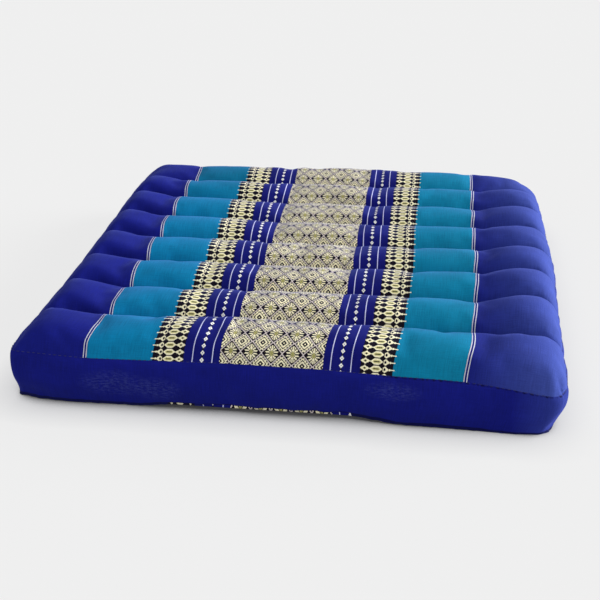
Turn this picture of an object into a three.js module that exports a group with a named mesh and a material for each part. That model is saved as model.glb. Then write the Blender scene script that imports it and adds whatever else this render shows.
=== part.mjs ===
// A square floor cushion for picnics: one cover, filled with kapok and sewn across into eight
// channels. The channels run along X and lie side by side along Y. A plain strip of cloth, the
// band, goes round the four sides between the top seam and the bottom seam.
//
// Units are millimetres, with +Z up. The origin is the middle of the underside, on the floor.

import * as THREE from 'three';
import { mergeVertices } from 'three/addons/utils/BufferGeometryUtils.js';

// Driving dimensions.
const WIDTH = 500;             // along the channels, X
const LENGTH = 500;            // across the channels, Y
const HEIGHT = 80;             // from the floor to the highest crest
const CHANNELS = 8;
const BOTTOM_SEAM = 6;         // the band's lower seam, above the floor
const TOP_SEAM = 50;           // the band's upper seam
const SEWN_LINE = 49;          // the sewn lines between channels, on the top
const UNDERSIDE_HOLLOW = 8;    // how much higher the underside's inner sewn lines sit than its edge

// How the filled cloth rounds over.
const END_ROUND = 34;          // length of the rounding at each end of a channel
const END_STEPS = 4;           // facets in that rounding
const CHANNEL_STEPS = 8;       // facets across one channel
const FULLNESS = 2.15;         // 2 is a plain half ellipse, more is flatter on top and steeper at the sides
const EDGE_FULLNESS = 2.7;     // the same for the outer half of the first and last channel
const REST_WIDTH = 1.5;        // above 1 the underside presses flat on the floor, wider as it grows
const CORNER_ROUND = 24;       // plan radius of the four corners
const PUCKER = 5;              // how far each sewn line draws the ends in
const PUCKER_REACH = 70;       // how far in from an end that shows

// A channel along X, from the middle to where its end starts to round over. rise is the height of
// its crest above the top seam, as a share of the most it can be. line is how much of that rise
// the sewn line beside it keeps. The sewn lines pull hard over the middle. Close to the ends they
// let go, so the filling lifts there and the line is only a shallow crease.
const CHANNEL_RUN = [
  { share: 0.00, rise: 0.78, line: 0 },
  { share: 0.36, rise: 0.79, line: 0 },
  { share: 0.70, rise: 0.77, line: 0 },
  { share: 0.84, rise: 0.78, line: 0.08 },
  { share: 0.93, rise: 0.92, line: 0.35 },
  { share: 1.00, rise: 1.00, line: 0.55 },
];
const END_LINE = 0.55;         // the line's share of the rise all the way over the end

// The band from its lower seam to its upper one: how far each row sits inside the full width and
// length. It leans out, because the upper edge is fuller than the pressed lower edge.
const BAND_ROWS = [
  { up: 0.00, endInset: 14, sideInset: 9 },
  { up: 0.22, endInset: 8, sideInset: 3 },
  { up: 0.50, endInset: 3, sideInset: 0 },
  { up: 0.78, endInset: 0, sideInset: 1 },
  { up: 1.00, endInset: 1, sideInset: 4 },
];
const TOP_ROW = BAND_ROWS.length - 1;

// One quarter of a superellipse, from 0 at its edge to 1 at its top.
function fullCurve(sine, fullness) {
  return Math.pow(Math.abs(sine), 2 / fullness);
}

// Places along X as shares of the half width, from one end to the other, with the channel's rise
// and its sewn line's share of it. The last END_STEPS at each end follow a quarter circle down to
// the seam.
function stationsAlongChannel() {
  const straight = 1 - END_ROUND / (WIDTH / 2);
  const half = CHANNEL_RUN.map((station) => ({ ...station, share: station.share * straight }));
  for (let step = 1; step <= END_STEPS; step += 1) {
    const angle = (Math.PI / 2) * (step / END_STEPS);
    half.push({
      share: straight + (1 - straight) * Math.sin(angle),
      rise: step === END_STEPS ? 0 : Math.cos(angle),
      line: END_LINE,
    });
  }
  const mirrored = half.slice(1).reverse().map((station) => ({ ...station, share: -station.share }));
  return [...mirrored, ...half];
}

// Places along Y as shares of the half length, with the rise of the channel's section at each.
// wall is 0 at the cushion's own edge and 1 at a sewn line between two channels.
function stationsAcrossChannels() {
  const stations = [];
  for (let channel = 0; channel < CHANNELS; channel += 1) {
    for (let step = channel === 0 ? 0 : 1; step <= CHANNEL_STEPS; step += 1) {
      const angle = Math.PI * (step / CHANNEL_STEPS);
      const nearHalf = step < CHANNEL_STEPS / 2;
      const onEdge = nearHalf ? channel === 0 : channel === CHANNELS - 1;
      const fullness = onEdge ? EDGE_FULLNESS : FULLNESS;
      const side = Math.sign(Math.cos(angle)) * fullCurve(Math.cos(angle), fullness);
      const place = channel + (1 - side) / 2;
      const atLine = step === 0 || step === CHANNEL_STEPS;
      stations.push({
        share: (2 * place) / CHANNELS - 1,
        rise: atLine ? 0 : fullCurve(Math.sin(angle), fullness),
        wall: Math.min(1, place, CHANNELS - place),
      });
    }
  }
  return stations;
}

const alongX = stationsAlongChannel();
const acrossY = stationsAcrossChannels();

// Height of the top cloth. It is sewn down to TOP_SEAM at its edges and to SEWN_LINE between
// channels, except near their ends, where the sewn lines let go.
function topHeight(x, y) {
  const crest = TOP_SEAM + (HEIGHT - TOP_SEAM) * x.rise;
  const hold = y.wall * (1 - x.line / END_LINE);
  const sewn = TOP_SEAM - (TOP_SEAM - SEWN_LINE) * hold;
  const line = x.line * y.wall;
  return sewn + (crest - sewn) * (line + (1 - line) * y.rise);
}

// Height of the underside, which is 0 wherever a channel presses on the floor.
function undersideHeight(x, y) {
  const sewnLine = BOTTOM_SEAM + UNDERSIDE_HOLLOW * x.rise * y.wall;
  return sewnLine * (1 - Math.min(1, REST_WIDTH * x.rise * y.rise));
}

// Rounds the plan's corners: a square ring of points in the corner becomes a round one.
function roundCorner(x, y, halfWidth, halfLength) {
  const pastX = Math.abs(x) - (halfWidth - CORNER_ROUND);
  const pastY = Math.abs(y) - (halfLength - CORNER_ROUND);
  if (pastX <= 0 || pastY <= 0) return { x, y };
  const shrink = Math.max(pastX, pastY) / Math.hypot(pastX, pastY);
  return {
    x: Math.sign(x) * (halfWidth - CORNER_ROUND + pastX * shrink),
    y: Math.sign(y) * (halfLength - CORNER_ROUND + pastY * shrink),
  };
}

// The place of one grid point: its column along X, its column along Y and its row up the band.
function placePoint(column, line, row) {
  const xStation = alongX[column];
  const yStation = acrossY[line];
  const band = BAND_ROWS[row];
  const halfWidth = WIDTH / 2 - band.endInset;
  const halfLength = LENGTH / 2 - band.sideInset;

  const fromEnd = halfWidth * (1 - Math.abs(xStation.share));
  const pull = PUCKER * (1 - yStation.rise) * yStation.wall * Math.max(0, 1 - fromEnd / PUCKER_REACH);
  const x = xStation.share * halfWidth - Math.sign(xStation.share) * pull;
  const flat = roundCorner(x, yStation.share * halfLength, halfWidth, halfLength);

  let z = BOTTOM_SEAM + (TOP_SEAM - BOTTOM_SEAM) * band.up;
  if (row === TOP_ROW) z = topHeight(xStation, yStation);
  if (row === 0) z = undersideHeight(xStation, yStation);
  return { ...flat, z };
}

// A segmented box whose grid points are moved to the cushion's top, band and underside.
function cushionGeometry() {
  const columns = alongX.length - 1;
  const lines = acrossY.length - 1;
  const geometry = new THREE.BoxGeometry(columns, lines, TOP_ROW, columns, lines, TOP_ROW);
  geometry.deleteAttribute('normal');
  geometry.deleteAttribute('uv');
  const position = geometry.getAttribute('position');
  for (let i = 0; i < position.count; i += 1) {
    const column = Math.round(position.getX(i) + columns / 2);
    const line = Math.round(position.getY(i) + lines / 2);
    const row = Math.round(position.getZ(i) + TOP_ROW / 2);
    const point = placePoint(column, line, row);
    position.setXYZ(i, point.x, point.y, point.z);
  }
  return mergeVertices(geometry);
}

const cushion = new THREE.Mesh(
  cushionGeometry(),
  new THREE.MeshStandardMaterial({ color: 0x26307a, roughness: 0.85, metalness: 0 }),
);
cushion.name = 'cushion';

const model = new THREE.Group();
model.add(cushion);

export default model;
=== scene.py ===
# %% [markdown]
# # A kapok picnic cushion
#
# The cushion is one cover of cotton, filled with kapok and sewn across into eight channels. Its
# top is cut from a traditional striped cloth, with woven diamonds down the middle, and a plain
# strip of the same blue goes round the sides.
#
# The imported model gives the size and place of everything, so it is loaded first.

# %% Load the frame
import math
from functools import partialmethod

import bpy
import numpy as np
from mathutils import Matrix, Vector, noise


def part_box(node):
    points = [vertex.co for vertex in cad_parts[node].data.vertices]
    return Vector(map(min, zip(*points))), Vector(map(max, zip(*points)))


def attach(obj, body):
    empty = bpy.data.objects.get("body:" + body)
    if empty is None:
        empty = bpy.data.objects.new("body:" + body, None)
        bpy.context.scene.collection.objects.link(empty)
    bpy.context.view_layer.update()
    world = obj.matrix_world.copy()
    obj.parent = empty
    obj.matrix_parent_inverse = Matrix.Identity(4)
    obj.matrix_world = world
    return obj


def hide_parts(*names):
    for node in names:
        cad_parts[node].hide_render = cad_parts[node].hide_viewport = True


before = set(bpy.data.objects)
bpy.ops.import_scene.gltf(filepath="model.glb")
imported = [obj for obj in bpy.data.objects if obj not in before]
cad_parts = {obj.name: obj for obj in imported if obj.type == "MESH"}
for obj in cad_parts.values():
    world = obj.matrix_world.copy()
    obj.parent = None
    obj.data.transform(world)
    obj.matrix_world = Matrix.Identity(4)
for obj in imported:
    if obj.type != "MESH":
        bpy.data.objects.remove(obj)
scene = bpy.context.scene
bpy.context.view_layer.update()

# %% [markdown]
# ## The camera
#
# The cushion is seen from a little right of its middle, about 25 degrees above it. The camera is
# turned in three steps, its turn, its tilt and its roll, so that each number says what it does.

# %% Camera
def add_object(name, data):
    """A new object in the scene."""
    made = bpy.data.objects.new(name, data)
    scene.collection.objects.link(made)
    return made


CAMERA_PLACE = (0.1423, -1.078, 0.510)
CAMERA_TURN, CAMERA_TILT, CAMERA_ROLL = (math.radians(a) for a in (-8.49, 25.16, 0.80))
camera_data = bpy.data.cameras.new("camera")
camera_data.sensor_width, camera_data.lens = 36, 66
camera_data.clip_end = 100
camera = add_object("camera", camera_data)
turned = Matrix.Translation(CAMERA_PLACE)
for angle, axis in ((-CAMERA_TURN, "Z"), (math.pi / 2 - CAMERA_TILT, "X"), (-CAMERA_ROLL, "Z")):
    turned = turned @ Matrix.Rotation(angle, 4, axis)
camera.matrix_world = turned
scene.camera = camera
print("camera at", [round(c, 3) for c in camera.location])

# %% [markdown]
# ## The cushion's measures
#
# A sewing pattern is drawn in millimetres, so the shape is too, and it becomes metres at the end.
# The outside measures come from the frame. The band sits between a bottom and a top seam, and
# seven sewn lines divide the top into channels.

# %% Measures
MM = 0.001
_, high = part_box("cushion")
HALF_X, HALF_Y, TALL = high.x / MM, high.y / MM, high.z / MM
CHANNELS = 8
PITCH = 2 * HALF_Y / CHANNELS
BOTTOM_SEAM, TOP_SEAM, SEWN_LINE = 4.0, 50.0, 56.0
CREST = 73.5  # usual height of a channel's crest, away from its ends
MIDDLE = -4.0  # the stripes' middle sits this far left of the cushion's middle
print(f"half size {HALF_X:.0f} x {HALF_Y:.0f}, height {TALL:.0f}, channel pitch {PITCH:.1f} mm")

# %% [markdown]
# ## Two curves make a channel
#
# A filled channel is a long pillow. From its end it is nearly half an ellipse. From its side it is
# level, lifts to a hump near each end, where the sewn lines let go, and rounds down to the seam.
# Cloth doesn't stretch, so both curves are walked at equal steps, and a woven stripe keeps its
# width however steep the cloth gets.

# %% A smooth curve, walked at equal steps
ALONG, ACROSS = 84, 14  # steps from end to end, and across one channel
print(f"{ALONG} steps along each channel, {ACROSS} across it")


def smooth_path(points, fine=40):
    """A smooth curve through the points, as many short steps."""
    points = np.array(points, float)
    before, after = 2 * points[0] - points[1], 2 * points[-1] - points[-2]
    p = np.vstack([before, points, after])
    t = np.linspace(0, 1, fine, endpoint=False)[:, None]
    pieces = [
        0.5 * (2 * b + (c - a) * t + (2 * a - 5 * b + 4 * c - d) * t**2 + (3 * b - a - 3 * c + d) * t**3)
        for a, b, c, d in zip(p, p[1:], p[2:], p[3:])
    ]
    return np.vstack([*pieces, points[-1:]])


def measured(path):
    """How far along a path each of its points is."""
    return np.append(0, np.cumsum(np.linalg.norm(np.diff(path, axis=0), axis=1)))


def walk(path, steps):
    """Places at equal steps along a path, and how far along each is."""
    far = measured(path)
    at = np.linspace(0, far[-1], steps + 1)
    return np.stack([np.interp(at, far, path[:, k]) for k in range(path.shape[1])], axis=1), at


def ease(x, start, end):
    """0 before start, 1 after end, and smooth between."""
    t = np.clip((x - start) / (end - start), 0, 1)
    return t * t * (3 - 2 * t)


# %% [markdown]
# The crest line is drawn from the stripes' middle to each end. The right end is fuller than the
# left, so each has its own table. In every table by side, -1 is the left end and 1 the right.

# %% A channel from end to end
HUMP_START = 175  # where a channel starts to lift, from the stripes' middle
HUMP_PLACE = {-1: 211, 1: 216}  # where each end's hump is highest
ENDS = {  # distance from the middle, share of the rise that is left
    -1: [(217, 0.975), (222, 0.89), (227, 0.76), (232, 0.58), (238, 0.32), (242, 0.13), (244.5, 0)],
    1: [(224, 0.98), (231, 0.93), (237, 0.845), (242, 0.73), (246, 0.60), (249.5, 0.42), (252, 0.2),
        (253, 0)],
}


def half_path(side):
    """One half of a usual channel's crest line, from the middle to an end."""
    hump = HUMP_PLACE[side]
    level = [
        (x, CREST + (TALL - CREST) * ease(x, HUMP_START, hump))
        for x in (0, 60, 120, 165, 180, 190, 200, hump)
    ]
    falling = [(x, TOP_SEAM + (TALL - TOP_SEAM) * share) for x, share in ENDS[side]]
    return smooth_path(level + falling) * (side, 1)


whole_path = np.vstack([half_path(-1)[::-1], half_path(1)[1:]])
whole_path[:, 0] += MIDDLE
whole, far = walk(whole_path, ALONG)
run_x, run_z = whole.T
run_u = far - np.interp(MIDDLE, run_x, far)
print(f"{len(run_x)} places along a channel, cloth {far[-1]:.0f} mm long")

# %% [markdown]
# A kapok channel isn't a half tube: its front is steep, its top nearly flat, and its back falls
# away. Each kind of channel has a table: how far across it a place is, and its share of the full
# rise there. The first and last channels also go down to the seams at the edge.

# %% The channels' sections
FRONT_SECTION = [
    (0, 0), (0.051, 0.336), (0.102, 0.64), (0.17, 0.813), (0.274, 0.911), (0.379, 0.986), (0.487, 1),
    (0.596, 1), (0.705, 0.955), (0.81, 0.83), (0.891, 0.61), (0.968, 0.2), (1, 0),
]
SECTION = [
    (0, 0), (0.046, 0.346), (0.1, 0.582), (0.174, 0.8), (0.274, 0.921), (0.382, 0.968), (0.492, 1),
    (0.601, 0.977), (0.708, 0.908), (0.814, 0.764), (0.902, 0.547), (0.959, 0.321), (1, 0),
]
BACK_SECTION = [
    (0, 0), (0.048, 0.334), (0.117, 0.539), (0.209, 0.673), (0.323, 0.793), (0.44, 0.9), (0.541, 0.978),
    (0.647, 1), (0.752, 0.953), (0.844, 0.839), (0.915, 0.669), (0.975, 0.393), (1, 0),
]
print(f"a section has {len(SECTION)} points")


def section_path(channel):
    """One channel's section as Y and height, and the height of its front and its back edge."""
    table, before, after = SECTION, SEWN_LINE, SEWN_LINE
    if channel == 0:
        table, before = FRONT_SECTION, TOP_SEAM
    if channel == CHANNELS - 1:
        table, after = BACK_SECTION, TOP_SEAM
    share, rise = np.array(table, float).T
    base = np.where(np.arange(len(share)) <= rise.argmax(), before, after)
    y = -HALF_Y + (channel + share) * PITCH
    return smooth_path(np.stack([y, base + (CREST - base) * rise], axis=1)), before, after


# %% [markdown]
# The eight sections are walked one after the other, from front to back. Each place keeps its Y,
# its share of the rise, the height of the sewn line below it, and the cloth up to the front seam.

# %% All the channels side by side
sections = []
for channel in range(CHANNELS):
    path, before, after = section_path(channel)
    places, far = walk(path, ACROSS)
    base = np.where(places[:, 0] <= path[path[:, 1].argmax(), 0], before, after)
    rise = np.clip((places[:, 1] - base) / (CREST - base), 0, 1)
    rows = np.stack([places[:, 0], rise, base, far], axis=1)
    if sections:
        rows[:, 3] += sections[-1][-1, 3]
        rows = rows[1:]
    sections.append(rows)
sec_y, sec_rise, sec_base, sec_v = np.vstack(sections).T
LINES = len(sec_y) - 1
line_v = sec_v[::ACROSS]
print(f"{LINES} steps across, cloth of each channel:", np.round(np.diff(line_v), 1))

# %% [markdown]
# ## The plan, and the places of the cover
#
# Seen from above the cushion is a square with soft corners, and each sewn line draws its ends in.
# One function places a point from its share of the half width and half length. The top, the band
# and the underside all use it, so their edges meet exactly.

# %% Plan
CORNER_ROUND = {(-1, -1): 9, (1, -1): 20, (-1, 1): 12, (1, 1): 34}
LEFT_TUCK = 0.4  # the left end is tucked in less than the right one
PUCKER, PUCKER_REACH = 2.0, 60.0  # how far a sewn line draws its ends in, and from how far off
wall = np.clip(np.minimum(sec_y + HALF_Y, HALF_Y - sec_y) / PITCH, 0, 1)


def plan(i, j, end_inset=0.0, side_inset=0.0, pucker=PUCKER):
    """X and Y of the grid's points (i along, j across), with the edges moved in."""
    half_x = HALF_X - end_inset * np.where(run_x[i] < 0, LEFT_TUCK, 1)
    half_y = HALF_Y - side_inset
    x = run_x[i] / HALF_X * half_x
    y = sec_y[j] / HALF_Y * half_y
    reach = np.clip(1 - (half_x - np.abs(x)) / PUCKER_REACH, 0, 1)
    x = x - np.sign(x) * pucker * (1 - sec_rise[j]) * wall[j] * reach**1.5
    for (side_x, side_y), radius in CORNER_ROUND.items():
        past_x = x * side_x - (half_x - radius)
        past_y = y * side_y - (half_y - radius)
        corner = (past_x > 0) & (past_y > 0)
        shrink = np.where(corner, np.maximum(past_x, past_y) / np.hypot(past_x + 1e-9, past_y + 1e-9), 1)
        x = np.where(corner, side_x * (half_x - radius + past_x * shrink), x)
        y = np.where(corner, side_y * (half_y - radius + past_y * shrink), y)
    return x, y


print("corner radii in mm:", CORNER_ROUND)

# %% [markdown]
# No two channels are filled alike. A table says how high each stands at six places along it, and
# a smooth noise changes that a little more.

# %% How full each channel is
FILL_PLACES = (-211, -169, -46, 46, 170, 216)
FILLING = [  # crest heights at those places, channel by channel from the front
    (72.0, 68.5, 73.0, 71.5, 70.5, 73.5),
    (76.0, 71.5, 73.5, 75.0, 75.0, 82.5),
    (76.5, 73.0, 73.5, 74.0, 76.0, 83.0),
    (78.5, 74.5, 73.5, 73.0, 74.5, 81.5),
    (80.0, 75.0, 71.5, 72.5, 74.5, 78.0),
    (80.5, 76.0, 70.5, 72.0, 73.0, 78.5),
    (79.5, 76.0, 73.0, 74.5, 73.5, 77.0),
    (70.5, 69.5, 73.5, 74.0, 70.5, 70.5),
]
FILL_NOISE, FILL_SIZE = 0.8, (90.0, 40.0)

I, J = np.meshgrid(np.arange(len(run_x)), np.arange(len(sec_y)))  # J is a row of the grid
from_middle = run_x - MIDDLE
side_of = np.where(from_middle < 0, -1, 1)
channel_of = np.clip((sec_y + HALF_Y) / PITCH - 0.5, 0, CHANNELS - 1)
places_at = np.array([np.interp(channel_of, range(CHANNELS), column) for column in zip(*FILLING)])
fill = np.array([[noise.noise((x / FILL_SIZE[0], y / FILL_SIZE[1], 3)) for x in run_x] for y in sec_y])


def crest_heights():
    """Height of each channel's crest at every grid point, before its ends round down."""
    level = np.array([np.interp(from_middle, FILL_PLACES[1:5], row) for row in places_at[1:5].T])
    humps = np.where(side_of < 0, places_at[0][:, None], places_at[5][:, None])
    ends = np.where(side_of < 0, places_at[1][:, None], places_at[4][:, None])
    lifts = (ease(np.abs(from_middle), HUMP_START, HUMP_PLACE[side]) for side in (-1, 1))
    return level + (humps - ends) * np.where(side_of < 0, *lifts) + FILL_NOISE * fill


print(f"crests from {crest_heights().min():.1f} to {crest_heights().max():.1f} mm")

# %% [markdown]
# Over the middle the sewn lines pull the top down hard. Towards the ends they let go, so the
# channels run together and only a crease is left. The underside is pulled up between the
# channels, and each of them lies flat on the floor a little wider than its crest.

# %% Heights of the top and the underside
LINE_HOLD = {  # distance from the middle, a sewn line's share of the rise
    -1: [(178, 0), (192, 0.08), (203, 0.25), (213, 0.5), (222, 0.74), (230, 0.88), (244, 0.92)],
    1: [(184, 0), (198, 0.08), (210, 0.28), (224, 0.5), (238, 0.66), (253, 0.78)],
}
CREASE = {  # distance from the middle, depth of the crease at a line's end
    -1: [(190, 0), (215, 0.8), (235, 0.8), (244, 0)],
    1: [(190, 0), (212, 3.5), (240, 4.0), (253, 1.5)],
}
ON_THE_LINE = 0.01  # a place with less of the rise than this is on a sewn line
UNDER_HOLLOW = 8.0
REST_WIDTH = 1.5  # how much wider than its crest a channel rests on the floor


def by_side(table):
    """Values along a channel from a table of distances for each end."""
    return np.where(side_of < 0, *(np.interp(np.abs(from_middle), *zip(*table[s])) for s in (-1, 1)))


def top_heights():
    """Height of the top cloth at every grid point."""
    left_on = by_side({s: [(0, 1), (HUMP_PLACE[s], 1)] + ENDS[s] for s in ENDS})[I]
    line_share = by_side(LINE_HOLD)[I] * wall[J]
    crest = TOP_SEAM + (crest_heights() - TOP_SEAM) * left_on
    base = sec_base[J]
    sewn = base + (TOP_SEAM - base) * np.clip(line_share * 2, 0, 1)
    crease = by_side(CREASE)[I] * (sec_rise[J] < ON_THE_LINE) * (wall[J] > 0)
    return sewn + (crest - sewn) * (line_share + (1 - line_share) * sec_rise[J]) - crease


def underside_heights():
    """Height of the underside, which is 0 wherever a channel presses on the floor."""
    end = np.clip((run_z[I] - TOP_SEAM) / (CREST - TOP_SEAM), 0, 1)
    sewn = BOTTOM_SEAM + UNDER_HOLLOW * end * wall[J]
    return sewn * (1 - np.clip(REST_WIDTH * end * sec_rise[J], 0, 1))


print(f"top cloth from {top_heights().min():.1f} to {top_heights().max():.1f} mm high")

# %% [markdown]
# ## The band
#
# The band is a strip sewn between the two squares. It leans out: its foot is pressed in where the
# cushion stands, and its middle bulges with the filling.

# %% Band
BAND_SHAPE = [  # share of the height, how far the ends and the sides are tucked in
    (0, 7.5, 5.0), (0.05, 8.2, 5.8), (0.13, 6.3, 4.2), (0.28, 4.0, 2.0), (0.46, 2.0, 0.6), (0.64, 0.6, 0),
    (0.82, 0, 0.4), (0.94, 0.4, 1.0), (1, 1.8, 2.8),
]
BAND_ROWS = len(BAND_SHAPE) - 1
front = [(i, 0) for i in range(ALONG)]
right = [(ALONG, j) for j in range(LINES)]
back = [(i, LINES) for i in range(ALONG, 0, -1)]
left = [(0, j) for j in range(LINES, 0, -1)]
border = np.array(front + right + back + left)  # once round, anticlockwise from above
i_round, j_round = border.T
print(f"band: {len(border)} columns, {BAND_ROWS} rows")

# %% [markdown]
# ## How the cushion has settled
#
# A cushion that has been sat on is never square. Its corners have sunk and spread, its front seam
# wanders, and its foot and sides lie further out in places. Each of those moves dies away from
# its own edge or corner.

# %% Settling
CORNER_SLUMP = {  # corner: how far it sinks and goes out along Y, X and at its foot, then its reach
    (1, -1): (9.0, 4.0, 3.0, 0.0, 65.0),
    (1, 1): (5.0, -4.0, -7.0, 0.0, 55.0),
    (-1, 1): (0.0, 1.0, 3.0, 0.0, 100.0),
    (-1, -1): (-2.0, 0.0, 0.0, 5.0, 50.0),
}
FRONT_FOOT = [  # X, how far the front's foot lies out
    (-250, -8), (-236, -6), (-222, -1.5), (-195, 1), (-150, 0), (60, 0), (100, 5), (150, 6), (200, 6),
    (250, 0),
]
SIDE_DRAW = {  # side: how far its edge is drawn in, from front to back
    -1: [(-180, 0), (-130, 1.5), (-60, 1.5), (0, 0), (60, 0), (110, -2.5), (200, -2.5), (250, -1)],
    1: [(-250, 3.5), (-200, 2.5), (-150, 1.5), (-60, 0), (0, -2), (70, 1), (110, 1.5), (150, 3.5),
        (200, 1.5), (250, 0)],
}
SEAM_WAVE = [  # X, how far the front's top seam is lifted
    (-250, -1.0), (-175, -2.5), (-110, -1.0), (-50, 0.3), (42, -0.5), (105, -3), (166, -3), (240, -3.8),
]
WAVE_REACH, FOOT_REACH, DRAW_REACH = 25, 30, 60  # how far in from its edge each of them shows
PRESSED = 0.8  # share of its height that the front's foot loses at its ends
PRESSED_LEFT, PRESSED_RIGHT = (100, 130), (60, 110)  # where that begins, and is complete
FOOT_HEIGHT, FOOT_DEPTH = 9, 20  # what counts as the front's foot


def slump(points):
    """Lets the corners sink and spread, and the edges wander."""
    points = points.copy()
    x, y, z = points.T.copy()
    in_front = np.exp(-((y + HALF_Y) / WAVE_REACH) ** 2) * np.clip(z / TOP_SEAM, 0, 1)
    points[:, 2] += np.interp(x, *zip(*SEAM_WAVE)) * in_front
    at_ends = np.maximum(ease(x, *PRESSED_RIGHT), ease(-x, *PRESSED_LEFT))
    points[:, 2] *= 1 - PRESSED * at_ends * (z < FOOT_HEIGHT) * (y < FOOT_DEPTH - HALF_Y)
    foot = np.clip(1 - z / TOP_SEAM, 0, 1) * np.exp(-((y + HALF_Y) / FOOT_REACH) ** 2)
    points[:, 1] -= np.interp(x, *zip(*FRONT_FOOT)) * foot
    for side, draw in SIDE_DRAW.items():
        at_side = np.clip(1 - (HALF_X - side * x) / DRAW_REACH, 0, 1)
        points[:, 0] -= side * np.interp(y, *zip(*draw)) * at_side
    for (side_x, side_y), (sink, out_y, out_x, foot_x, reach) in CORNER_SLUMP.items():
        near = np.exp(-(np.hypot(x - side_x * HALF_X, y - side_y * HALF_Y) / reach) ** 2)
        up = np.clip(z / TOP_SEAM, 0, 1)
        points[:, 2] -= sink * near * up
        points[:, 1] += side_y * out_y * near
        points[:, 0] += side_x * near * (out_x * up + foot_x * (1 - up))
    return points


print("corners that settle:", list(CORNER_SLUMP))

# %% [markdown]
# The top's grid and the underside's grid hold the same places of the plan, and the band's rows lie
# between their borders. Then everything settles.

# %% Every place of the cover
def cover_places():
    """All the cover's places: the top's grid, the underside's, then the band's inner rows."""
    top_x, top_y = plan(I, J, *BAND_SHAPE[-1][1:])
    under_x, under_y = plan(I, J, *BAND_SHAPE[0][1:], pucker=PUCKER / 2)
    layers = [(top_x, top_y, top_heights()), (under_x, under_y, underside_heights())]
    for up, end_inset, side_inset in BAND_SHAPE[1:-1]:
        x, y = plan(i_round, j_round, end_inset, side_inset, PUCKER * (0.5 + 0.5 * up))
        height = BOTTOM_SEAM + (TOP_SEAM - BOTTOM_SEAM) * up
        layers.append((x, y, np.full_like(x, height)))
    return slump(np.vstack([np.stack(layer, axis=-1).reshape(-1, 3) for layer in layers]))


places = cover_places()
print(f"{len(places)} places, the highest at {places[:, 2].max():.1f} mm")

# %% [markdown]
# ## The cover
#
# The three cloths are one closed mesh, sewn edge to edge by sharing their border points. Each face
# also keeps its place in the flat cloth, in metres, in a UV map. The woven stripes follow that
# map, so they bend over the channels as the real cloth does.

# %% Cover mesh
ROW_LENGTH = len(run_x)
GRID = ROW_LENGTH * len(sec_y)
TOP, UNDER, BAND = 0, GRID, 2 * GRID  # where each cloth's points start
corner = (np.arange(LINES)[:, None] * ROW_LENGTH + np.arange(ALONG)).ravel()
grid = np.stack([corner, corner + 1, corner + ROW_LENGTH + 1, corner + ROW_LENGTH], axis=1)
on_border = j_round * ROW_LENGTH + i_round
inner = [BAND + row * len(border) + np.arange(len(border)) for row in range(BAND_ROWS - 1)]
levels = [UNDER + on_border, *inner, TOP + on_border]  # the band's points, from the bottom seam up
band_faces = np.vstack([
    np.stack([low_row, np.roll(low_row, -1), np.roll(high_row, -1), high_row], axis=1)
    for low_row, high_row in zip(levels, levels[1:])
])
faces = np.vstack([TOP + grid, UNDER + grid[:, ::-1], band_faces])
mesh = bpy.data.meshes.new("cushion_cover")
mesh.from_pydata((places * MM).tolist(), [], faces.tolist())
mesh.validate()
cover = add_object("cushion_cover", mesh)
band_start = 2 * ALONG * LINES
print(f"cover: {len(mesh.vertices)} points, {len(mesh.polygons)} faces")

# %% [markdown]
# ## The cloth before it was sewn
#
# On the flat cloth a place is measured from the stripes' middle and from the front seam. The
# sewing takes in some cloth at each line, and no hand lays a stripe quite straight, so the stripes
# drift from channel to channel. The underside is measured along its own surface, and the band
# round the cushion and up from its bottom seam.

# %% What the sewing does to the cloth
FIRST_TAKEN_IN, NEXT_TAKEN_IN = 10.7, 3.0  # cloth lost at the first sewn line and at each after it
TAKEN_IN = np.array([0] + [FIRST_TAKEN_IN + NEXT_TAKEN_IN * k for k in range(CHANNELS - 1)])
CLOTH_DRIFT = [  # channels from the front, how far the stripes lie to the right
    (0, -4.6), (0.25, -2.1), (0.5, -0.3), (0.75, 0.8), (1, 1.5), (1.5, 2.5), (2.5, 4.1), (3.5, 2.8),
    (4.5, 0.5), (6.5, -1.0), (8, -2.0),
]
CREST_PULL = [(0, 0), (0.4, 1.2), (0.62, 0.9), (0.8, 0), (1, 0)]  # the same over each channel
PULL_FROM, PULL_TO = 80, 150  # where that pull begins on the right, and is complete
PULL_BEHIND = 0.45  # its share behind the first channel
print("cloth taken in before each channel:", np.round(TAKEN_IN, 1), "mm")


def underside_map():
    """The underside's flat cloth, measured along its own surface."""
    heights = places[UNDER:BAND].reshape(len(sec_y), len(run_x), 3)
    u, v = measured(heights[LINES // 2]), measured(heights[:, ALONG // 2])
    return u - u[-1] / 2, v


def top_map():
    """The top's flat cloth, with the stripes' drift."""
    drift = np.interp((sec_y + HALF_Y) / PITCH, *zip(*CLOTH_DRIFT))
    pull = np.interp((sec_y + HALF_Y) / PITCH % 1, *zip(*CREST_PULL))
    pull *= np.where(sec_y < PITCH - HALF_Y, 1, PULL_BEHIND)
    pulled = drift[J] + pull[J] * ease(from_middle, PULL_FROM, PULL_TO)[I]
    return np.stack([run_u[I] - pulled, sec_v[J]], axis=-1).reshape(-1, 2)


# %% [markdown]
# The map is kept for each corner of each face. In the middle of the front, the underside's cloth
# turns up a little past the bottom seam, so a strip of its pattern shows there.

# %% Cloth map
PEEP_FROM, PEEP_TO = np.searchsorted(run_x, (-107, 60))  # the strip, from X to X
PEEP_LOW, PEEP_HIGH = -7.4, -6.3  # the part of the pattern that it shows


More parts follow.
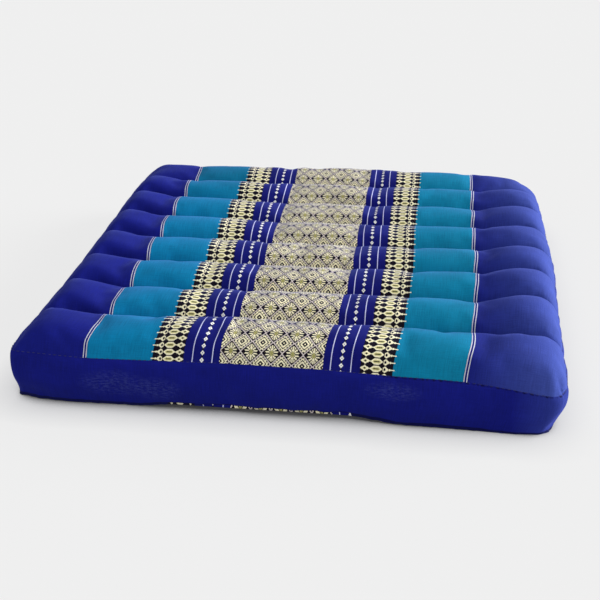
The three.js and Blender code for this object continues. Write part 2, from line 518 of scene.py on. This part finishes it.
def cloth_map():
    """Each corner of each face: its place in the flat cloth, in millimetres."""
    under_u, under_v = underside_map()
    under = np.stack([under_u[I], under_v[J]], axis=-1).reshape(-1, 2)
    flat = np.vstack([top_map(), under])
    uv = np.zeros((len(faces), 4, 2))
    uv[:band_start] = flat[faces[:band_start]]
    channel_of_face = np.arange(LINES) // ACROSS
    uv[:ALONG * LINES, :, 1] += np.repeat(TAKEN_IN[channel_of_face], ALONG)[:, None]
    ring = places[levels[-1]]
    far = measured(np.vstack([ring, ring[:1]])[:, :2])
    n = len(border)
    for row in range(BAND_ROWS):
        lower, upper = (TOP_SEAM * BAND_SHAPE[row + k][0] for k in (0, 1))
        rows = slice(band_start + row * n, band_start + (row + 1) * n)
        uv[rows, :, 0] = np.stack([far[:-1], far[1:], far[1:], far[:-1]], axis=1)
        uv[rows, :, 1] = (lower, lower, upper, upper)
    i = np.arange(PEEP_FROM, PEEP_TO)
    left_u, right_u = under_u[i], under_u[i + 1]
    uv[band_start + i, :, 0] = np.stack([left_u, right_u, right_u, left_u], axis=1)
    uv[band_start + i, :, 1] = (PEEP_LOW, PEEP_LOW, PEEP_HIGH, PEEP_HIGH)
    return uv


layer = mesh.uv_layers.new(name="cloth")
layer.uv.foreach_set("vector", (cloth_map() * MM).ravel())
cloth_of_face = np.where(np.arange(len(faces)) < band_start, 0, 1)
cloth_of_face[band_start + PEEP_FROM:band_start + PEEP_TO] = 0
mesh.polygons.foreach_set("material_index", cloth_of_face)
print("cloth map:", len(layer.uv), "corners")

# %% [markdown]
# ## Filling the cover
#
# Real cloth lies over its filling in small folds, because it is sewn down along lines and pushed
# up between them. So a cloth simulation holds the seams, the sewn lines and the underside, gives
# the cloth a little spare length, and blows it up from inside. Each point may move only a few
# millimetres, so the cushion keeps its measures.

# %% Points that the thread holds
sewn_rows = [(c * ACROSS * ROW_LENGTH + np.arange(ROW_LENGTH)).tolist() for c in range(1, CHANNELS)]
sewn_points = set(sum(sewn_rows, []))
seam_points = set(levels[0].tolist()) | set(levels[-1].tolist())
held = sewn_points | seam_points | set(range(UNDER, BAND))
print(len(held), "of", len(places), "points are held")

# %% [markdown]
# The held points get full weight and the free cloth very little, so that it can't drift sideways.
# Gravity is off, because the filling holds the cloth up. After twenty steps the moves are read,
# capped smoothly, and applied to the mesh.

# %% Cloth simulation
PRESSURE, SPARE_CLOTH, MOST_MOVE = 4.0, 0.022, 3.5
SOFT_HOLD = 0.04  # how firmly the free cloth is held
LAST_STEP = 20


def read(items, name, width, kind=float):
    """A row of so many values for each of a mesh's items, such as its points."""
    values = np.empty(len(items) * width, kind)
    items.foreach_get(name, values)
    return values.reshape(-1, width)


def add_filling():
    """Adds the cloth simulation to the cover."""
    group = cover.vertex_groups.new(name="held")
    group.add(sorted(held), 1.0, "REPLACE")
    group.add(sorted(set(range(len(places))) - held), SOFT_HOLD, "REPLACE")
    cloth = cover.modifiers.new("filling", "CLOTH")
    cloth.collision_settings.use_collision = False
    cloth.point_cache.frame_start, cloth.point_cache.frame_end = 1, LAST_STEP
    settings = cloth.settings
    settings.quality, settings.mass = 5, 0.3
    settings.tension_stiffness = settings.compression_stiffness = 15
    settings.shear_stiffness, settings.bending_stiffness = 5, 0.3
    settings.use_pressure, settings.uniform_pressure_force = True, PRESSURE
    settings.vertex_group_mass, settings.pin_stiffness = "held", 1.0
    settings.shrink_min = -SPARE_CLOTH
    settings.effector_weights.gravity = 0
    return cloth


cloth = add_filling()
for step in range(1, LAST_STEP + 1):
    scene.frame_set(step)
evaluated = cover.evaluated_get(bpy.context.evaluated_depsgraph_get())
filled = evaluated.to_mesh()
moved = read(filled.vertices, "co", 3) / MM - places
evaluated.to_mesh_clear()
cover.modifiers.remove(cloth)
scene.frame_set(1)
far = np.linalg.norm(moved, axis=1)
print(f"filling moves the cloth by {far.mean():.2f} mm, at most {far.max():.2f} mm before the cap")
moved *= (MOST_MOVE * np.tanh(far / MOST_MOVE) / np.maximum(far, 1e-6))[:, None]
places = places + moved
places[:, 2] = np.maximum(places[:, 2], 0)
mesh.vertices.foreach_set("co", (places * MM).ravel())

# %% [markdown]
# ## Smooth cloth from the grid
#
# One level of subdivision rounds the grid off. The sewn lines and the two seams are creased, so
# that they stay narrow.

# %% Subdivision
LINE_CREASE, SEAM_CREASE = 1.0, 0.8
crease = mesh.attributes.new("crease_edge", "FLOAT", "EDGE")
strength = []
for edge in mesh.edges:
    ends = set(edge.vertices)
    strength.append(LINE_CREASE if ends <= sewn_points else SEAM_CREASE if ends <= seam_points else 0.0)
crease.data.foreach_set("value", strength)

bpy.ops.object.select_all(action="DESELECT")
cover.select_set(True)
bpy.context.view_layer.objects.active = cover
smooth = cover.modifiers.new("smooth", "SUBSURF")
smooth.levels = smooth.render_levels = 1
bpy.ops.object.modifier_apply(modifier="smooth")
mesh.polygons.foreach_set("use_smooth", [True] * len(mesh.polygons))
print("cover after subdivision:", 2 * len(mesh.polygons), "triangles")

# %% [markdown]
# ## Puckers
#
# Thread pulled tight gathers the cloth beside it. Each point knows its place in the flat cloth, so
# it is pushed in or out by a noise that runs along the nearest stitches and dies away from them.

# %% Where each point is in the cloth
corners = read(mesh.loops, "vertex_index", 1, np.int32)[:, 0]
flat_place = np.zeros((len(mesh.vertices), 2))  # in millimetres
flat_place[corners] = read(mesh.uv_layers["cloth"].uv, "vector", 2) / MM
on_band = np.zeros(len(mesh.vertices))
on_band[corners] = np.repeat(read(mesh.polygons, "material_index", 1, np.int32), 4)
print(f"{int(on_band.sum())} of {len(on_band)} points are on the band")

# %% [markdown]
# On the top the nearest stitches are a sewn line or the seam at a channel's end, and on the band
# one of its seams. The underside is pressed flat where it rests, so it gets no puckers.

# %% Puckers beside the stitches
PUCKER_HEIGHT, PUCKER_FADE = 0.75, 7.0
PUCKER_WAVES = (6.5, 30, 60)  # size of the folds along the stitches, away from them, and upwards
RESTING_BELOW = 0.6 * TOP_SEAM

points = read(mesh.vertices, "co", 3) / MM
line_places = np.concatenate([line_v[:-1] + TAKEN_IN, line_v[1:] + TAKEN_IN])
line_gap = np.abs(flat_place[:, 1:] - line_places).min(axis=1)
end_gap = np.maximum(run_u[-1] - np.abs(flat_place[:, 0]), 0)
band_gap = np.minimum(flat_place[:, 1], TOP_SEAM - flat_place[:, 1])
gap = np.where(on_band > 0, band_gap, np.minimum(line_gap, end_gap))
along = np.where((on_band > 0) | (line_gap < end_gap), flat_place[:, 0], flat_place[:, 1])
spots = np.column_stack([along, gap, points[:, 2]]) / PUCKER_WAVES
wave = np.array([noise.noise(spot) for spot in spots.tolist()])
resting = (points[:, 2] < RESTING_BELOW) & (on_band < 1)
push = PUCKER_HEIGHT * wave * np.exp(-((gap / PUCKER_FADE) ** 2)) * ~resting
points += read(mesh.vertices, "normal", 3) * push[:, None]
points[:, 2] = np.maximum(points[:, 2], 0)
mesh.vertices.foreach_set("co", (points * MM).ravel())
mesh.update()
print(f"puckers from {push.min():.2f} to {push.max():.2f} mm")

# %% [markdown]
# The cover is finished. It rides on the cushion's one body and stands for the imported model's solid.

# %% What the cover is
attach(cover, "root")
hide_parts("cushion")
print("the cover stands for the cushion's solid")

# %% [markdown]
# ## Stitches
#
# Short stitches of strong thread hold the seams and the sewn lines. Each is a small bead, thick in
# its middle and thin where it goes into the cloth. One is modelled from a sphere of few faces,
# stretched, with its two tips pushed down, and then copied along every line.

# %% One stitch
STITCH, STITCH_GAP, THREAD_RADIUS = 3.4, 1.5, 0.34
TIP_FROM, TIP_DOWN = 0.45, 0.6  # where a tip begins, as a share of a stitch, and how deep it goes
bpy.ops.object.select_all(action="DESELECT")
bpy.ops.mesh.primitive_uv_sphere_add(segments=5, ring_count=4, radius=THREAD_RADIUS)
bead = bpy.context.object
bpy.ops.object.mode_set(mode="EDIT")
bpy.ops.transform.resize(value=(1, 1, STITCH / (2 * THREAD_RADIUS)))
bpy.ops.mesh.select_all(action="DESELECT")
bpy.ops.object.mode_set(mode="OBJECT")
for point in bead.data.vertices:
    point.select = abs(point.co.z) > TIP_FROM * STITCH
bpy.ops.object.mode_set(mode="EDIT")
bpy.ops.mesh.select_mode(type="VERT")
bpy.ops.transform.translate(value=(-TIP_DOWN * THREAD_RADIUS, 0, 0))
bpy.ops.object.mode_set(mode="OBJECT")
bead_points = np.array([point.co for point in bead.data.vertices])  # X goes out, Z along the seam
bead_faces = [tuple(face.vertices) for face in bead.data.polygons]
bpy.data.objects.remove(bead)
print(f"a stitch has {len(bead_faces)} faces, its tips at x = {bead_points[:, 0].min():.2f} mm")

# %% [markdown]
# A line is walked in equal steps, and each step gets a copy of the bead, turned along the line
# with its back out of the cloth. A sewn line faces up, and the top seam outwards and a little up.
# All the stitches are one piece of thread work, so they go into one mesh.

# %% Stitches along a line
SEAM_LIFT, LINE_LIFT = 0.1, 0.25  # how far the thread stands out of the cloth
stitch_points, stitch_faces = [], []


def stitch_along(line, outwards, lift):
    """Adds the stitches along a line. outwards is the way out at a point."""
    where, _ = walk(line, int(measured(line)[-1] / (STITCH + STITCH_GAP)))
    for start, end in zip(where, where[1:]):
        middle, along = (start + end) / 2, (end - start) / np.linalg.norm(end - start)
        out = np.array(outwards(middle), float)
        axes = np.array([out, np.cross(along, out), along])
        stitch_faces.extend([k + len(stitch_points) for k in face] for face in bead_faces)
        stitch_points.extend(middle + out * lift + bead_points @ axes)


def straight_up(_):
    """The way out of a sewn line."""
    return 0, 0, 1


def up_and_out(point):
    """Straight out from the cushion's middle, and a little up, for the top seam."""
    x, y, _ = np.sign(point) * 0.9
    return (x, 0, 0.43) if abs(point[0]) > abs(point[1]) else (0, y, 0.43)


stitch_along(places[np.append(levels[-1], levels[-1][0])], up_and_out, SEAM_LIFT)
for row in sewn_rows:
    stitch_along(places[row], straight_up, LINE_LIFT)
stitch_mesh = bpy.data.meshes.new("seam_stitches")
stitch_mesh.from_pydata((np.array(stitch_points) * MM).tolist(), [], stitch_faces)
stitch_mesh.polygons.foreach_set("use_smooth", [True] * len(stitch_faces))
stitches = add_object("seam_stitches", stitch_mesh)
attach(stitches, "root")
print(len(stitch_faces) // len(bead_faces), "stitches,", len(stitch_points), "points")

# %% [markdown]
# ## Shader maths as plain expressions
#
# A woven pattern is arithmetic on a place in the cloth. By hand it would be hundreds of Math
# nodes, so a small class wraps a node's output, and Python's operators add the nodes.

# %% Wire
class Wire:
    """One value in a material's node tree."""

    def __init__(self, tree, socket):
        self.tree, self.socket = tree, socket

    def node(self, kind, values, output=0, **settings):
        """Adds a node with its settings, then the values or links of its sockets."""
        made = self.tree.nodes.new("ShaderNode" + kind)
        for name, setting in settings.items():
            if name == "stops":
                for stop, (at, colour) in zip(made.color_ramp.elements, setting):
                    stop.position, stop.color = at, (*colour, 1)
            else:
                setattr(made, name, setting)
        for key, value in values.items():
            if isinstance(value, Wire):
                self.tree.links.new(value.socket, made.inputs[key])
            else:
                made.inputs[key].default_value = value
        return Wire(self.tree, made.outputs[output])

    def maths(self, operation, *others):
        """Adds a Math node whose first value is this one."""
        return self.node("Math", dict(enumerate((self, *others))), operation=operation)

    def __rsub__(self, other):
        return self.node("Math", {0: other, 1: self}, operation="SUBTRACT")

    __add__ = __radd__ = partialmethod(maths, "ADD")
    __mul__ = __rmul__ = partialmethod(maths, "MULTIPLY")
    __sub__ = partialmethod(maths, "SUBTRACT")
    __truediv__ = partialmethod(maths, "DIVIDE")
    __lt__ = partialmethod(maths, "LESS_THAN")
    __gt__ = partialmethod(maths, "GREATER_THAN")
    __abs__ = partialmethod(maths, "ABSOLUTE")
    either = partialmethod(maths, "MAXIMUM")
    at_most = partialmethod(maths, "MINIMUM")

    def between(self, low, high):
        return (self > low) * (self < high)

    def share(self, start, reach, most=1.0):
        """0 up to start, then growing by 1 over each reach, up to most."""
        return ((self - start) / reach).either(0).at_most(most)

    def colour(self, off, on):
        """The colour off where this is 0, and on where it is 1."""
        values = {"Factor": self}
        for socket, end in ((6, off), (7, on)):
            values[socket] = end if isinstance(end, Wire) else (*end, 1)
        return self.node("Mix", values, output=2, data_type="RGBA")


def srgb(red, green, blue):
    """A screen colour, from 0 to 255, as the linear values that nodes use."""
    shares = (c / 255 for c in (red, green, blue))
    return tuple(s / 12.92 if s <= 0.04045 else ((s + 0.055) / 1.055) ** 2.4 for s in shares)


print("a middle grey:", round(srgb(128, 128, 128)[0], 3))

# %% [markdown]
# ## Two cloths that know their own flat map
#
# Both cloths start in the same way: a material whose coordinates are the flat cloth's own, in
# millimetres, so that each number below is a width in the weave.

# %% A material with its cloth coordinates
def cloth_material(name):
    """A new material, its shader, and the place in the flat cloth in millimetres."""
    material = bpy.data.materials.new(name)
    material.use_nodes = True
    tree = material.node_tree
    shader = tree.nodes["Principled BSDF"]
    chart = tree.nodes.new("ShaderNodeUVMap")
    chart.uv_map = "cloth"
    flat = Wire(tree, chart.outputs[0])
    parts = [flat.node("SeparateXYZ", {0: flat}, output=k) * (1 / MM) for k in (0, 1)]
    return material, shader, *parts


def object_place(tree):
    """A place in the object's own space, in metres."""
    return Wire(tree, tree.nodes.new("ShaderNodeTexCoord").outputs["Object"])


woven, woven_shader, u, v = cloth_material("khit_cloth")
plain, plain_shader, s, h = cloth_material("band_cloth")
for material in (woven, plain):
    cover.data.materials.append(material)
print("cloths:", [material.name for material in cover.data.materials])

# %% [markdown]
# ## The woven top
#
# The cloth is woven in stripes that run across the channels, the same on both sides of its middle:
# a wide panel of flowers and diamonds, a blue stripe with a chain of small diamonds, a dark one
# with rows of spindles, a teal one, and a fine double line before the plain blue. Many such
# cushions are laid out like this. Distances are in millimetres.

# %% Woven stripes
PANEL = 46.0
PALE_LINES, CHAIN = (52.6, 70.5), 61.8
SPINDLES = (78.5, 106.8)
TIPS = (106.8, 108.2, 0.55)  # the spindles' last threads in the teal, and half a thread's width
TEAL_END = 167.3
DOUBLE_GROUND, DOUBLE_LINE = (167.2, 171.0), (167.9, 170.3)
LINE_HALF = 0.42  # half the width of a fine line
ROW = 6.7  # pitch of the spindle rows and the chain's diamonds
LEFT_SHIFT = 3.0  # how much further forward the rows are woven on the left
FIRST_FLOWER = 12.0  # the first row of flowers, from the front seam
CELL_U, CELL_V = 18.4, 3 * ROW  # pitch of the flowers

BLUE, DEEP_BLUE, PAINTED_LIGHT_BLUE = srgb(15, 23, 120), srgb(14, 18, 110), srgb(62, 79, 161)
TEAL, TEAL_RIGHT, TEAL_BACK = srgb(0, 123, 172), srgb(4, 127, 165), srgb(0, 110, 148)
WHITE, LILAC, SKY_BLUE = srgb(244, 244, 240), srgb(206, 208, 220), srgb(204, 208, 244)
THREADS = {
    ".": srgb(18, 10, 22), "o": srgb(250, 243, 208), "s": srgb(214, 208, 140),
    "g": srgb(164, 160, 98), "l": srgb(222, 211, 208),
}
print(f"a row every {ROW} mm, a flower every {CELL_U} by {CELL_V:.1f} mm")

# %% [markdown]
# The figures are charted as a weaver charts them, one letter a thread: `.` is dark ground, `o`
# cream, `s` straw, `g` olive and `l` the pale lattice. A chart holds one quarter of its figure,
# and mirrors make the rest. The flower is at the chart's lower left and the diamond at its upper
# right, with the lattice between them. The diamond is only rings, so one line of letters gives it,
# from its middle outwards. In a ring marked `*`, three dark threads follow three cream ones.

# %% Weaving charts
QUARTER = 16  # threads along each side of the flower's chart
PETALS = """
o
o.o
o.oo
o.oo
o.o..o
oo..ooo
oo.oooo
o.ooo
s.oo
gs..oooooo
gg.oooooo
ggs
""".split()[::-1]
RINGS = "o...ooo*.oo**.ll"
SPINDLE_ROWS = """
................................................
......o............oooooooo........oo...........
.....ooo..........oooooooooo......oooo..........
....ooooo........oooooooooooo....oooooo.........
..ooooooooo.....ooossssssssooo...oo.oooo........
.oooos.soooo...ooossssssssssooo..o...oooo.oo....
oooos...sooooooooss........ssooo.o...ooooooooooo
""".split()[::-1]


def flower_thread(column, row):
    """The letter of one thread of the flower's chart."""
    ring = 2 * (QUARTER - 1) - column - row
    if ring >= len(RINGS):
        return PETALS[row][column] if row < len(PETALS) and column < len(PETALS[row]) else "."
    if RINGS[ring] == "*":
        return "." if (column - row + 1) % 6 < 3 else "o"
    return RINGS[ring]


flower_rows = [[flower_thread(c, r) for c in range(QUARTER)] for r in range(QUARTER)]
for row in flower_rows[::-1]:
    print("".join(row))

# %% [markdown]
# Each row of a chart becomes a colour ramp with hard steps, and the rows are stacked by how far
# along the warp they are.

# %% From a chart to a colour
def charted(rows, across, along):
    """The chart's colour. across and along run from 0 at its lower left to 1."""
    colour = None
    for k, row in enumerate(rows):
        ramp = across.tree.nodes.new("ShaderNodeValToRGB")
        ramp.color_ramp.interpolation = "CONSTANT"
        stops = ramp.color_ramp.elements
        stops.remove(stops[1])
        for n, letter in enumerate(row):
            if n == 0 or row[n - 1] != letter:
                stop = stops[0] if n == 0 else stops.new(n / len(row))
                stop.color = (*THREADS[letter], 1)
        across.tree.links.new(across.socket, ramp.inputs[0])
        this_row = Wire(across.tree, ramp.outputs[0])
        colour = this_row if k == 0 else (along > k / len(rows)).colour(colour, this_row)
    return colour


side = abs(u)
near_row = (v - FIRST_FLOWER + ROW + (u < 0) * LEFT_SHIFT).maths("PINGPONG", ROW / 2)
spindle_across = (side - SPINDLES[0]) / (SPINDLES[1] - SPINDLES[0])
spindle = charted(SPINDLE_ROWS, spindle_across, near_row * (2 / ROW))
flower_across = u.maths("PINGPONG", CELL_U / 2) * (2 / CELL_U)
flower_along = (v - FIRST_FLOWER).maths("PINGPONG", CELL_V / 2) * (2 / CELL_V)
flower = charted(flower_rows, flower_across, flower_along)
print("nodes for the charts:", len(woven.node_tree.nodes))

# %% [markdown]
# The stripes are laid over each other as masks. The plain blue is painted lighter towards the right
# end, as painted light where the window lights it, and the teal is a little duller at the back. The
# chain's hollow diamonds sit on dark hourglasses.

# %% Colour of the top
PAINTED_LIGHT_FROM, PAINTED_LIGHT_OVER = 165, 85  # where the painted light begins, and how far it takes
DULL_FROM, DULL_OVER = 420, 180  # the same for the duller teal
CHAIN_WIDE, CHAIN_LONG, CHAIN_HOLE = 1.95, 2.45, 0.25
HOURGLASS_SLOPE = WAIST = 1.5

# painted light: the plain blue turns lighter towards the right end, where the window lights it
painted_light = u.share(PAINTED_LIGHT_FROM, PAINTED_LIGHT_OVER)
colour = (side < SPINDLES[0]).colour(painted_light.colour(BLUE, PAINTED_LIGHT_BLUE), DEEP_BLUE)
at_back = v.share(DULL_FROM, DULL_OVER)
teal = (u / 300 + 0.5).colour(at_back.colour(TEAL, TEAL_BACK), TEAL_RIGHT)
colour = side.between(SPINDLES[1], TEAL_END).colour(colour, teal)
for line in PALE_LINES:
    colour = (abs(side - line) < LINE_HALF).colour(colour, SKY_BLUE)

from_chain = abs(side - CHAIN)
chain = from_chain / CHAIN_WIDE + near_row / CHAIN_LONG
colour = (from_chain * HOURGLASS_SLOPE + (ROW / 2 - near_row) < WAIST).colour(colour, THREADS["."])
colour = chain.between(CHAIN_HOLE, 1).colour(colour, WHITE)
colour = side.between(*SPINDLES).colour(colour, spindle)
tips = side.between(*TIPS[:2]) * (near_row < TIPS[2])
colour = tips.colour(colour, THREADS["o"])

colour = side.between(*DOUBLE_GROUND).colour(colour, DEEP_BLUE)
for line in DOUBLE_LINE:
    colour = (abs(side - line) < LINE_HALF).colour(colour, LILAC)
top_colour = (side < PANEL).colour(colour, flower)
print("nodes in the top's material:", len(woven.node_tree.nodes))

# %% [markdown]
# ## How cotton looks
#
# The cloth is a firm cotton. Its threads differ a little in colour, so fine streaks run both ways,
# and its dye is uneven. Loose fibres catch light from the side, which is what the sheen is for.
# The threads' own roundness is a very fine bump.

# %% Cotton
THREAD_PITCH = 1.15, 1.34  # width of the threads across and along, in millimetres
BLUE_SHEEN = srgb(120, 140, 255)


def cotton(shader, colour, u, v, tint):
    """Finishes a cloth's shader: thread streaks, uneven dye, sheen and the threads' bump."""
    def grain(across, along, detail=1.0):
        """Noise whose grains are so many millimetres across and along."""
        place = u.node("CombineXYZ", {0: u / across, 1: v / along})
        values = {"Vector": place, "Scale": 1.0, "Detail": detail}
        return u.node("TexNoise", values, noise_dimensions="2D")

    streaks = grain(0.9, 16.0) * 0.40 + grain(14.0, 0.9) * 0.24 + grain(38.0, 30.0, 4.0) * 0.36
    shade = streaks + 0.5
    grey = shade.node("CombineXYZ", {0: shade, 1: shade, 2: shade})
    values = {"Factor": 1.0, 6: colour, 7: grey}
    shaded = grey.node("Mix", values, output=2, data_type="RGBA", blend_type="MULTIPLY")
    tree = shader.id_data
    tree.links.new(shaded.socket, shader.inputs["Base Color"])
    across, along = (place * (2 * math.pi / pitch) for place, pitch in zip((u, v), THREAD_PITCH))
    threads = across.maths("SINE") * along.maths("SINE")
    weave = threads * 0.25 + grain(0.9, 7.0) * 0.5 + grain(7.0, 0.9) * 0.5
    bump = weave.node("Bump", {"Strength": 0.35, "Distance": 0.0004, "Height": weave})
    tree.links.new(bump.socket, shader.inputs["Normal"])
    settings = {"Roughness": 0.85, "Specular IOR Level": 0.12, "Sheen Weight": 0.20,
                "Sheen Roughness": 0.45, "Sheen Tint": (*tint, 1)}
    for name, value in settings.items():
        shader.inputs[name].default_value = value


cotton(woven_shader, top_colour, u, v, BLUE_SHEEN)
print("nodes with the cotton's:", len(woven.node_tree.nodes))

# %% [markdown]
# ## The plain band
#
# The band is the same blue, dyed plain. It is painted a little lighter at the right end, as painted
# light where the window lights it, lint clings to it in a few places, and its foot is painted dark, as
# painted shade where it meets the floor. The top seam's stitches throw a broken painted shade on its
# upper edge. `s` runs round the cushion and `h` up the band.

# %% Plain blue band cloth
SHADE_NAVY, BAND_BLUE, LINT = srgb(8, 9, 58), srgb(16, 23, 125), srgb(74, 84, 158)
LINT_PLACES = [(95, 24, 36, 17), (135, 20, 26, 15), (345, 35, 28, 11)]  # s, h, half length, half height
LINT_MOST, DARKENING = 0.42, 0.85
# how high the painted shade reaches at the foot, and how deep it reaches under the top seam, in
# millimetres
SHADED_FOOT, SHADE_HEIGHT = 3.6, 1.6
BAND_PAINTED_LIGHT_FROM, SHADE_FROM = 0.2, 0.09  # X in metres


def speckle(across, along=None, **more):
    """Noise on the band, with grains so many millimetres along it and up it."""
    place = {0: s / across}
    if along:
        place[1] = h / along
    values = {"Vector": s.node("CombineXYZ", place), "Scale": 1.0, **more}
    return s.node("TexNoise", values, noise_dimensions="2D")


place_x = s.node("SeparateXYZ", {0: object_place(plain.node_tree)})
# painted light: the band turns lighter towards the right end, where the window lights it
colour = place_x.share(BAND_PAINTED_LIGHT_FROM, 1 / 11, most=0.5).colour(BAND_BLUE, PAINTED_LIGHT_BLUE)
fluff = speckle(5.0, 1.6, Detail=4.0, Roughness=0.7)
for middle_s, middle_h, half_s, half_h in LINT_PLACES:
    ds, dh = (s - middle_s) / half_s, (h - middle_h) / half_h
    patch = (1 - (ds * ds + dh * dh)).either(0)
    colour = (fluff.share(0.42, 0.25) * patch * LINT_MOST).colour(colour, LINT)
broken = speckle(3.2).share(0.42, 0.2)
stitch_shade = (h > TOP_SEAM - SHADE_HEIGHT) * broken * (place_x > SHADE_FROM)
# painted shade in navy: the band's foot where it meets the floor, and a broken strip under the top seam's
# stitches
dark = (h < SHADED_FOOT).either(stitch_shade)
cotton(plain_shader, (dark * DARKENING).colour(colour, SHADE_NAVY), s, h, BLUE_SHEEN)
print("nodes in the band's material:", len(plain.node_tree.nodes))

# %% [markdown]
# ## The thread
#
# The thread is dark blue and twisted, so its colour varies a little, with a very fine bump. It is
# smoother than the cloth.

# %% Thread
thread = bpy.data.materials.new("sewing_thread")
thread.use_nodes = True
tree = thread.node_tree
place = object_place(tree)
twist = place.node("TexNoise", {"Vector": place, "Scale": 1400.0, "Detail": 1.0})
thread_shader = tree.nodes["Principled BSDF"]
thread_colour = twist.colour(srgb(10, 12, 66), srgb(26, 32, 112))
thread_bump = twist.node("Bump", {"Strength": 0.4, "Distance": 0.0002, "Height": twist})
tree.links.new(thread_colour.socket, thread_shader.inputs["Base Color"])
tree.links.new(thread_bump.socket, thread_shader.inputs["Normal"])
thread_shader.inputs["Roughness"].default_value = 0.6
stitches.data.materials.append(thread)
print("nodes in the thread's material:", len(tree.nodes))

# %% [markdown]
# ## The floor
#
# The floor is plain and pale. Seen directly it mostly shows its own colour, with the shade that
# gathers close to the cushion's foot. For light that bounces off it, it is a darker grey, so that
# it doesn't light the cushion too much from below.

# %% Floor
PALE = srgb(239, 239, 239)  # how the floor and the backdrop show
FLOOR_BOUNCE = 0.40  # how much light the floor throws back
OWN_COLOUR = 0.88  # how much of the floor's look doesn't come from the lamps
SHADE_REACH = 0.045  # how far from the foot the close shade goes, in metres
LEE_FROM, LEE_LEAST = 0.29, 0.15  # less shade on the window's side
SHADE = [(0.58, srgb(50, 50, 54)), (0.80, srgb(216, 216, 218))]
bpy.ops.object.select_all(action="DESELECT")
bpy.ops.mesh.primitive_plane_add(size=60, location=(0, 0, 0))
floor = bpy.context.object
floor.name = "floor"

floor_material = bpy.data.materials.new("pale_floor")
floor_material.use_nodes = True
tree = floor_material.node_tree
tree.nodes.clear()
open_sky = Wire(tree, tree.nodes.new("ShaderNodeAmbientOcclusion").outputs["AO"])
open_sky.socket.node.samples = 16
open_sky.socket.node.inputs["Distance"].default_value = SHADE_REACH
floor_x = open_sky.node("SeparateXYZ", {0: object_place(tree)})
lee = ((LEE_FROM - floor_x) * 14).at_most(1.0).either(LEE_LEAST)
open_sky = (1 - (1 - open_sky) * lee).maths("POWER", 0.5)
shade = open_sky.node("ValToRGB", {0: open_sky}, stops=SHADE)
shade.socket.node.color_ramp.elements.new(1.0).color = (*PALE, 1)
ray = tree.nodes.new("ShaderNodeLightPath")
shown, mirrored = (Wire(tree, ray.outputs[name]) for name in ("Is Camera Ray", "Is Glossy Ray"))
own = shown.node("Emission", {"Color": shade, "Strength": 1.0})
lit = shown.node("BsdfDiffuse", {"Color": (*PALE, 1)})
bounce = shown.node("BsdfDiffuse", {"Color": (*(FLOOR_BOUNCE,) * 3, 1)})
seen = shown.node("MixShader", {0: OWN_COLOUR, 1: lit, 2: own})
look = shown.node("MixShader", {0: shown.either(mirrored), 1: bounce, 2: seen})
output = tree.nodes.new("ShaderNodeOutputMaterial")
tree.links.new(look.socket, output.inputs["Surface"])
floor.data.materials.append(floor_material)
print("nodes in the floor's material:", len(tree.nodes))

# %% [markdown]
# ## The light
#
# A wide, low sun stands for a big window on the right, a wider and weaker one for the bright room
# in front, and an even sky fills the shadows. Together they show a level surface in its own colour.

# %% Light
SKY = 0.48  # the sky's share of the light on a level surface
LIGHTS = {  # name: its share, where it comes from, how wide it looks
    "window": (0.42, (0.92, 0.30, 0.24), 40),
    "room": (0.10, (-0.05, -1.0, 0.40), 90),
}
for name, (share, place, angle) in LIGHTS.items():
    from_place = Vector(place).normalized()
    light_data = bpy.data.lights.new(name, "SUN")
    light_data.energy = math.pi * share / from_place.z
    light_data.angle = math.radians(angle)
    light = add_object(name, light_data)
    light.rotation_mode = "QUATERNION"
    light.rotation_quaternion = from_place.to_track_quat("Z", "Y")

world = scene.world or bpy.data.worlds.new("sky")
scene.world = world
world.use_nodes = True
tree = world.node_tree
tree.nodes.clear()
ray = Wire(tree, tree.nodes.new("ShaderNodeLightPath").outputs["Is Camera Ray"])
sky = ray.node("Background", {0: (1, 1, 1, 1), 1: SKY})
backdrop = ray.node("Background", {0: (*PALE, 1), 1: 1.0})
look = ray.node("MixShader", {0: ray, 1: sky, 2: backdrop})
output = tree.nodes.new("ShaderNodeOutputWorld")
tree.links.new(look.socket, output.inputs["Surface"])
scene.view_settings.view_transform = "Standard"
print("share of light on a level surface:", SKY + sum(share for share, *_ in LIGHTS.values()))
